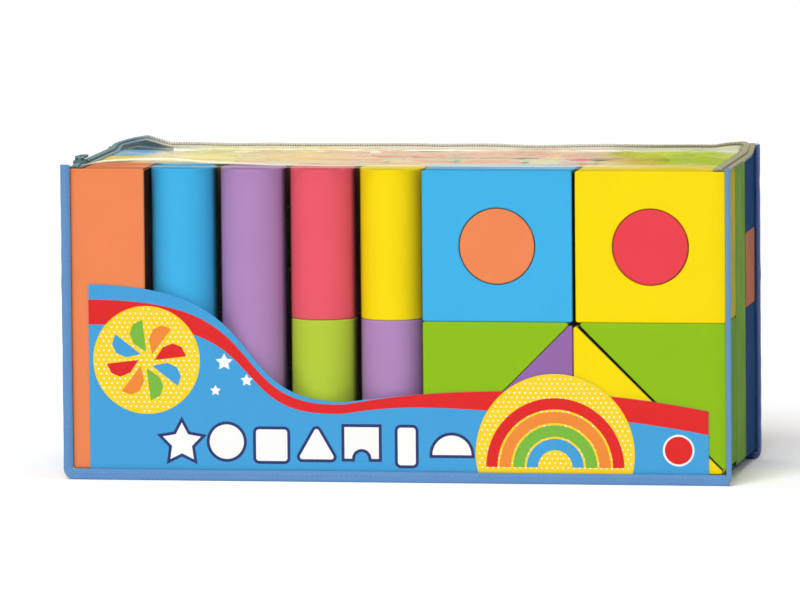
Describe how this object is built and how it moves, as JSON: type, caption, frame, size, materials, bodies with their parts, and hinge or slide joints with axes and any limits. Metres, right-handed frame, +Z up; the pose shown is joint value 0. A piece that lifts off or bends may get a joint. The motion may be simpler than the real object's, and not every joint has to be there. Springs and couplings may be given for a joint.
{
  "type": "foam building block set in a clear bag",
  "caption": "Large foam building blocks of several shapes and colours, packed in layers in a clear zipped film bag with bound seams and a printed card.",
  "frame": {"origin": "on the ground under the middle of the bag", "axes": "+Z up, +X to the right along the long front, front with the card faces -Y"},
  "size_m": [0.45, 0.156, 0.2143],
  "materials": {
    "foam_orange": "matte closed-cell foam",
    "foam_blue": "matte closed-cell foam",
    "foam_purple": "matte closed-cell foam",
    "foam_red": "matte closed-cell foam",
    "foam_yellow": "matte closed-cell foam",
    "foam_green": "matte closed-cell foam",
    "clear_film": "clear glossy film",
    "binding": "woven binding tape",
    "zip_tape": "woven zip tape with a nylon coil",
    "zip_metal": "lacquered die-cast",
    "printed_card": "coated printed card"
  },
  "bodies": {
    "pack": {"front_orange_plank": "foam_orange", "front_blue_column": "foam_blue", "front_purple_column": "foam_purple", "front_red_drum": "foam_red", "front_green_drum": "foam_green", "front_yellow_drum": "foam_yellow", "front_purple_drum": "foam_purple", "front_blue_square": "foam_blue", "front_orange_plug": "foam_orange", "front_yellow_square": "foam_yellow", "front_red_plug": "foam_red", "front_green_wedge_left": "foam_green", "front_purple_wedge": "foam_purple", "front_yellow_wedge": "foam_yellow", "front_green_wedge_right": "foam_green", "middle_yellow_square": "foam_yellow", "middle_blue_plug": "foam_blue", "middle_orange_square": "foam_orange", "middle_green_plug": "foam_green", "middle_blue_wedge": "foam_blue", "middle_orange_wedge": "foam_orange", "middle_purple_wedge": "foam_purple", "middle_red_wedge": "foam_red", "middle_orange_column": "foam_orange", "middle_orange_drum": "foam_orange", "middle_blue_drum": "foam_blue", "middle_yellow_half_round": "foam_yellow", "middle_red_half_round": "foam_red", "middle_orange_stubs": "foam_orange", "middle_green_plank": "foam_green", "back_blue_column": "foam_blue", "back_green_drum": "foam_green", "back_blue_drum": "foam_blue", "back_purple_column": "foam_purple", "back_red_drum": "foam_red", "back_yellow_drum": "foam_yellow", "back_orange_arch": "foam_orange", "back_yellow_half_disc": "foam_yellow", "back_red_brick": "foam_red", "back_green_brick": "foam_green", "back_purple_brick": "foam_purple", "back_yellow_brick": "foam_yellow", "back_blue_brick": "foam_blue", "back_orange_cube": "foam_orange", "back_blue_cube": "foam_blue", "front_panel": "clear_film", "back_panel": "clear_film", "gusset": "clear_film", "front_binding": "binding", "back_binding": "binding", "body_zip": "zip_tape", "label_card": "printed_card"},
    "lid": {"lid_panel": "clear_film", "lid_zip": "zip_tape"},
    "slider": {"zip_slider": "zip_metal"},
    "pull": {"zip_pull": "zip_metal"}
  },
  "joints": [
    {"name": "lid_hinge", "type": "hinge", "parent": "pack", "child": "lid", "pos_m": [0, -0.0771, 0.2088], "axis": [1, 0, 0], "range_deg": [0, 180]},
    {"name": "zip_slide", "type": "slide", "parent": "lid", "child": "slider", "axis": [0, 1, 0], "range_m": [0, 0.1]},
    {"name": "pull_hinge", "type": "hinge", "parent": "slider", "child": "pull", "pos_m": [-0.2152, -0.0591, 0.213], "axis": [1, 0, 0], "range_deg": [0, 150]}
  ]
}
